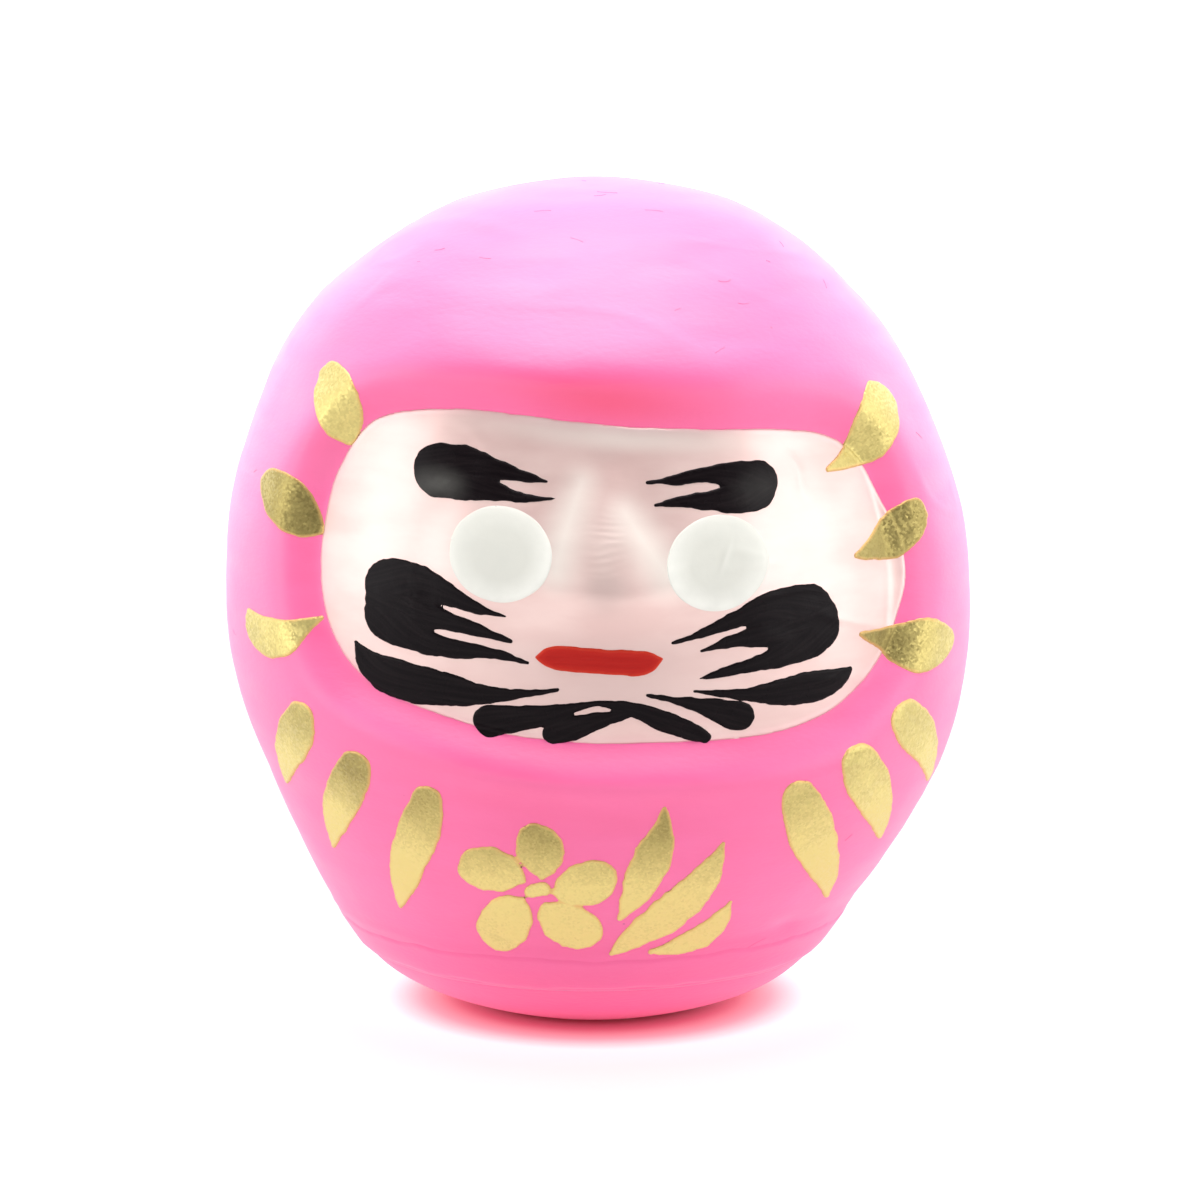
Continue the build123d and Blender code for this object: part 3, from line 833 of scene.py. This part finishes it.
def bare_paper():
    material, tree, shader = new_material("bare_paper")
    place = object_place(tree)
    fibre = grain(tree, place, 900.0, 5.0)
    colour = ramp(tree, fibre, [(0.3, (0.56, 0.47, 0.35)), (0.7, (0.72, 0.64, 0.52))])
    emboss(tree, shader, fibre, 0.0001)
    set_inputs(tree, shader, {"Base Color": colour, "Roughness": 0.85})
    return material


pink = pink_paint()
pearl = pearl_paint()
white = white_paint()
black = black_paint()
red = red_paint()
gold = gold_paint()
paper = bare_paper()


def place_piece(piece, material, slot, *nodes):
    """Gives a piece its material, ties it to the body and lets it stand for its CAD node."""
    piece.data.materials.append(material)
    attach(piece, "root")
    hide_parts(*nodes)


# ---------------------------------------------------------------- pieces
def front_heavy_turns(front, back):
    """Turns all the way round, closer together over the front half."""
    ahead = np.linspace(-math.pi / 2, math.pi / 2, front, endpoint=False)
    behind = np.linspace(math.pi / 2, 1.5 * math.pi, back, endpoint=False)
    return np.concatenate([ahead, behind])


def rings_painted_pink_shade(turns, drops):
    return painted_pink_shade(*np.meshgrid(turns, drops)).ravel()


def rings_at(turns, drops, lift):
    """Rings of places on the surface, one for each drop."""
    turn, drop = np.meshgrid(turns, drops)
    return skin(turn, drop, lift)


def plain_ring(turns, radius, height):
    return np.stack([radius * np.sin(turns), -radius * np.cos(turns), np.full(len(turns), height)], axis=-1)


def paper_shell():
    turns = front_heavy_turns(320, 84)
    drops = np.linspace(0.6, drop_at(JOIN_HEIGHT), 222)
    outside = rings_at(turns, drops, 0)
    inside = rings_at(turns, np.linspace(drop_at(JOIN_HEIGHT), 1.5, 14), -WALL)
    points, faces = closed_turning(np.concatenate([outside, inside]))
    chosen = [
        (0.13, 9.5, 2.2, 0.3), (0.05, 10.5, 1.4, -0.4), (0.42, 15.5, 2.0, 0.2),
        (-0.36, 15.5, 1.8, -0.2), (-0.08, 21.0, 1.6, 0.5), (-0.55, 108.0, 2.4, 1.2),
        (0.66, 104.5, 3.0, -0.5), (0.68, 105.6, 2.2, -0.7),
    ]
    more_points, more_faces = fibres(46, chosen)
    faces += [[i + len(points) for i in face] for face in more_faces]
    points = np.vstack([points, more_points])
    # painted shade under the brow and below the face, kept on the shell's outer points
    thick = np.zeros(len(points))
    thick[: len(drops) * len(turns)] = rings_painted_pink_shade(turns, drops)
    piece = make_mesh("paper_shell_skin", points, faces, {"painted_pink_shade": thick})
    place_piece(piece, pink, "pink_painted_paper", "paper_shell")


def base_weight():
    turns = front_heavy_turns(200, 100)
    dish_radii = np.array([0.5, 5, 10, 15, 19.3])
    dish_heights = DISH_FLOOR + DISH_RADIUS - np.sqrt(DISH_RADIUS**2 - dish_radii**2)
    dish = np.array([plain_ring(turns, r, h) for r, h in zip(dish_radii, dish_heights)])
    plug = rings_at(turns, [drop_at(PLUG_TOP), drop_at(JOIN_HEIGHT)], -WALL - 0.05)
    outside = rings_at(turns, np.linspace(drop_at(JOIN_HEIGHT), FULL_DROP, 40), -0.2)
    seat = np.array([plain_ring(turns, r, BASE_PAPER) for r in (11.9, 8.0, 1.0)])
    points, faces = closed_turning(np.concatenate([dish, plug, outside, seat]))
    place_piece(make_mesh("base_weight_clay", points, faces), pink, "pink_painted_clay", "base_weight")


def face_coat():
    turns = (face_ring[:, 0].min() / FLAT - 0.02, face_ring[:, 0].max() / FLAT + 0.02)
    drops = (face_ring[:, 1].min() - 0.5, face_ring[:, 1].max() + 0.5)

    def bare(turn, drop):
        return np.zeros_like(turn)

    def nose_wrinkles_and_painted_light(turn, drop):
        x, z = front_place(turn, drop, FACE_DEPTH)
        # painted shade down the nose's ridge and on its tip
        ridge_shade = 0.31 * bell(x, NOSE_X, 2.0) * smooth((67 - z) / 3) * smooth((z - 50) / 4)
        ridge_shade = ridge_shade * (1 - 0.6 * bell(z, NOSE_BRIDGE_HEIGHT, 2.4))
        tip = 0.62 * np.exp(-((np.hypot(x - NOSE_X, z - NOSE_TIP_HEIGHT) / 2.0) ** 3))
        # painted highlights down the nose's flanks and on its bridge
        flank_highlights = smooth(0.5 - stroke_distance(NOSE_FLANK_HIGHLIGHTS, x, z) / 4.4)
        bridge = bell(x, NOSE_X, 1.8) * bell(z, NOSE_BRIDGE_HEIGHT, 2.6)
        # painted shade on the lower face around the lips
        low = bell(x, 1.5, 11.0) * smooth((48.3 - z) / 4) * smooth((z - 37.2) / 3)
        # painted light on the band under the face's top rim, which the brow shades
        lit_under_rim = smooth((face_distance(turn, drop) + 3.4) / 2.0) * smooth((z - 58) / 3)
        lit_under_rim = lit_under_rim * bell(x, 3.0, 12.0)
        # wrinkled raises bumps; the other two carry painted highlights and painted shade
        return {
            "wrinkled": bell(x, NOSE_X, 1.4) * bell(z, 54.8, 2.8),
            "thick": np.maximum(flank_highlights, 0.7 * lit_under_rim) + 0.3 * bridge,
            "painted_face_shade": np.maximum(ridge_shade, tip) + 0.85 * low,
        }

    piece = film("face_coat_pearl", coat_distance, turns, drops, COAT_STEP, COAT,
                 under=bare, edge=0.4, marks=nose_wrinkles_and_painted_light)
    place_piece(piece, pearl, "pearl_paint", "face_coat")


def eye_whites():
    for side, (cx, cz) in EYES.items():

        def distance(turn, drop):
            x, z = shown_at(turn, drop)
            places = on_plane(x, z)
            round_off = np.hypot((x - cx) / EYE_RADII[0], (z - cz) / EYE_RADII[1]) - 1
            return round_off * sum(EYE_RADII) / 2 + 0.06 * noise(places, 2.2)

        def rim(turn, drop, inward):
            x, z = front_place(turn, drop, FACE_DEPTH)
            crease = bell(x - cx - 0.35 * (z - cz), 0.3, 0.3) * bell(z, cz + 0.5, 1.1)
            return 0.02 * bell(inward, 0.6, 0.4) + (0.13 * crease if side == "right" else 0)

        # painted highlight: the rim is lighter towards its lower inner side
        def shine(turn, drop):
            x, z = front_place(turn, drop, FACE_DEPTH)
            low_inner = ((cx - x) * math.copysign(0.6, cx) + (cz - z) * 0.8) / 5.0
            return {"shine": np.clip(0.55 + 0.45 * low_inner, 0, 1)}

        turns, _ = to_body(np.array([cx - 6.5, cx + 6.5]), cz, FACE_DEPTH)
        drops = drop_at(np.array([cz + 6, cz - 6.5]))
        piece = film(f"eye_white_{side}_paint", distance, turns, drops, EYE_STEP, EYE_FILM,
                     edge=0.6, extra=rim, marks=shine)
        place_piece(piece, white, "white_paint", f"eye_white_{side}")


def ink_marks():
    """The brows, the moustache, the beard and the lips."""
    for label, strokes in INK_MARKS.items():
        # how strong each mark's painted highlight is, and where it sits
        px, pz, grey = BROW_HIGHLIGHTS.get(label, (0.0, 0.0, 0.03))

        def from_highlight(x, z):
            return np.hypot((x - px) / 1.6, z - pz) / 2.6

        piece = paint_strokes(f"{label}_ink", strokes, INK_STEP, INK,
                              rough=0.09, tones=(grey, 0.0), fade=from_highlight)
        place_piece(piece, black, "black_paint", label)
    piece = paint_strokes("lips_paint", LIPS, INK_STEP, INK)
    place_piece(piece, red, "red_paint", "lips")


def gold_strokes():
    for side, strokes in GOLD_STROKES.items():
        for number, stations in enumerate(strokes, 1):
            tones = GOLD_REFLECTION_TONES[side][number - 1]
            label = f"gold_stroke_{side}_{number}"
            piece = paint_strokes(f"{label}_paint", [stations], GOLD_STEP, GOLD, rough=0.09, tones=tones)
            place_piece(piece, gold, "gold_paint", label)


def belly_motif():
    dice = np.random.default_rng(SEED + 2)
    cx, cz = BLOSSOM_CENTRE
    petals = []
    for k in range(PETALS):
        way = math.radians(80 + k * 360 / PETALS + dice.uniform(-6, 6))
        size = dice.uniform(0.94, 1.1)
        petal = []
        for out, width in ((1.6, 0.25), (2.8, 1.2), (4.2, 2.25), (5.6, 2.4), (6.6, 1.5)):
            bent = way + 0.07 * (out - 3)
            petal.append((cx + out * size * math.cos(bent), cz + out * size * math.sin(bent), width * size))
        petals.append(petal)
    petals.append([(cx - 0.6, cz - 0.2, 0.8), (cx + 0.5, cz + 0.2, 0.9)])

    # painted reflection: the motif's gold pales lower down, as if it reflected the floor
    def brighter_downward_reflection(x, z):
        return (29 - z) / 11

    for label, strokes in (("gold_blossom", petals), ("gold_leaves", LEAVES)):
        piece = paint_strokes(f"{label}_paint", strokes, GOLD_STEP, GOLD,
                              rough=0.13, tones=(0.1, 1.2), fade=brighter_downward_reflection)
        place_piece(piece, gold, "gold_paint", label)


def pasted_strips():
    turns = front_heavy_turns(260, 130)
    drops = np.linspace(drop_at(STRIP_HIGH) - 0.3, drop_at(STRIP_LOW) + 0.3, 26)
    turn, drop = np.meshgrid(turns, drops)
    places = np.stack([FLAT * np.sin(turn), FLAT * np.cos(turn), 0.5 * drop], axis=-1)
    middle, half = (drops[0] + drops[-1]) / 2, (drops[-1] - drops[0]) / 2 - 0.3
    away = np.abs(drop - middle) - half + 0.3 * noise(places, 4.0) + 0.08 * noise(places, 1.0)
    outside = skin(turn, drop, STRIP * smooth(-away / 0.7) - 0.07)
    inside = skin(turn, drop, -0.3)[::-1]
    rings = np.concatenate([outside, inside])
    rows, columns, _ = rings.shape
    faces = grid_faces(rows + 1, columns, wrap=True) % (rows * columns)
    piece = make_mesh("base_join_strip_paper", rings.reshape(-1, 3), faces)
    place_piece(piece, pink, "pink_painted_paper", "base_join_strip")

    def down_back(turn, drop):
        height = outline_at(drop)[1]
        places = on_plane(turn * FLAT, height)
        beyond_side = np.abs(turn - math.pi) * FLAT - SEAM_WIDTH / 2
        beyond_end = np.abs(height - (SEAM_LOW + SEAM_HIGH) / 2) - (SEAM_HIGH - SEAM_LOW) / 2
        box = np.maximum(beyond_side, beyond_end)
        return box + 0.3 * noise(places, 3.0) + 0.1 * noise(places, 0.9)

    reach = (SEAM_WIDTH / 2 + 1) / FLAT
    turns = (math.pi - reach, math.pi + reach)
    drops = (drop_at(SEAM_HIGH + 1), drop_at(SEAM_LOW - 1))
    piece = film("back_seam_strip_paper", down_back, turns, drops, STRIP_STEP, STRIP, edge=0.8)
    place_piece(piece, pink, "pink_painted_paper", "back_seam_strip")


def base_paper():
    turns = np.linspace(-math.pi, math.pi, 96, endpoint=False)
    uneven = 1 + 0.02 * np.sin(3 * turns + 1) + 0.01 * np.sin(7 * turns)
    ends = (
        (0.5, 0.28), (8, 0.28), (11.3, 0.28), (11.6, 0.23),
        (11.6, 0.05), (11.4, 0.0), (8, 0.0), (0.5, 0.0),
    )
    points, faces = closed_turning(np.array([plain_ring(turns, r * uneven, h) for r, h in ends]))
    place_piece(make_mesh("base_paper_disc", points, faces), paper, "bare_paper", "base_paper")


paper_shell()
base_weight()
pasted_strips()
base_paper()
face_coat()
eye_whites()
ink_marks()
gold_strokes()
belly_motif()


# ---------------------------------------------------------------- floor, light and camera
def floor():
    """A white sheet that glows more with distance from the doll, with a painted contact shadow and painted
    pink reflected light close in, then white.
    """
    mesh = bpy.data.meshes.new("floor")
    half = 12.0
    corners = [(-half, -half, 0), (half, -half, 0), (half, half, 0), (-half, half, 0)]
    mesh.from_pydata(corners, [], [(0, 1, 2, 3)])
    sheet = bpy.data.objects.new("floor", mesh)
    bpy.context.scene.collection.objects.link(sheet)
    material, tree, shader = new_material("floor_glow_painted_shadow")
    away = node(tree, "ShaderNodeVectorMath", {0: object_place(tree)}, operation="LENGTH").outputs["Value"]
    # painted contact shadow and painted pink reflected light, then a glow that grows with distance
    glow = ramp(tree, span(tree, away, 0.0, 0.12), [
        (0.105, (0.12, 0.002, 0.01)), (0.13, (0.45, 0.035, 0.08)), (0.16, (0.70, 0.24, 0.29)),
        (0.195, (0.85, 0.78, 0.79)), (0.25, (0.6, 0.6, 0.6)), (0.45, (0.25, 0.25, 0.25)),
        (1.0, (0.2, 0.2, 0.2)),
    ])
    set_inputs(tree, shader, {
        "Base Color": (0.46, 0.46, 0.46, 1),
        "Roughness": 0.9,
        "Emission Color": glow,
        "Emission Strength": span(tree, away, 0.13, 0.5, 1.0, 4.5),
    })
    sheet.data.materials.append(material)


def aim(thing, target):
    way = Vector(target) - thing.location
    thing.rotation_euler = way.to_track_quat("-Z", "Y").to_euler()


def area_light(name, place, size, power):
    data = bpy.data.lights.new(name, "AREA")
    data.shape = "RECTANGLE"
    data.size, data.size_y = size
    data.energy = power
    lamp = bpy.data.objects.new(name, data)
    lamp.location = place
    bpy.context.scene.collection.objects.link(lamp)
    aim(lamp, (0, 0, 0.045))


def light_tent():
    """A white tent round the doll, brightest behind it, with a dim opening where the picture is taken."""
    world = bpy.data.worlds.new("tent")
    world.use_nodes = True
    tree = world.node_tree
    way = node(tree, "ShaderNodeTexCoord").outputs["Generated"]
    front = node(tree, "ShaderNodeVectorMath", {0: way, 1: (0.0, -0.98, 0.17)}, operation="DOT_PRODUCT")
    place = node(tree, "ShaderNodeMapRange", {"Value": front.outputs["Value"], "From Min": -1.0})
    greys = ((0.0, 1.0), (0.5, 0.5), (0.75, 0.22), (0.93, 0.15))
    glow = ramp(tree, place.outputs["Result"], [(at, (grey,) * 3) for at, grey in greys])
    set_inputs(tree, tree.nodes["Background"], {"Color": glow, "Strength": 2.6})
    bpy.context.scene.world = world
    area_light("left_wall", (-0.57, -0.19, 0.16), (0.3, 0.5), 0.9)
    area_light("right_wall", (0.57, -0.19, 0.16), (0.3, 0.5), 0.9)
    area_light("roof", (0.0, 0.0, 0.65), (0.6, 0.6), 4.4)


CAMERA_RISE = math.radians(9.5)
CAMERA_DISTANCE = 0.430
CAMERA_TARGET = (0.0004, 0.0, 0.04397)
FRAME_WIDTH = 0.1308  # what the picture takes in at that distance
SENSOR = 36.0


def camera():
    data = bpy.data.cameras.new("camera")
    data.sensor_width = SENSOR
    data.lens = SENSOR * CAMERA_DISTANCE / FRAME_WIDTH
    seen = bpy.data.objects.new("camera", data)
    back = Vector((0, -math.cos(CAMERA_RISE), math.sin(CAMERA_RISE)))
    seen.location = Vector(CAMERA_TARGET) + CAMERA_DISTANCE * back
    bpy.context.scene.collection.objects.link(seen)
    aim(seen, CAMERA_TARGET)
    bpy.context.scene.camera = seen


floor()
light_tent()
camera()
bpy.context.scene.view_settings.view_transform = "Standard"
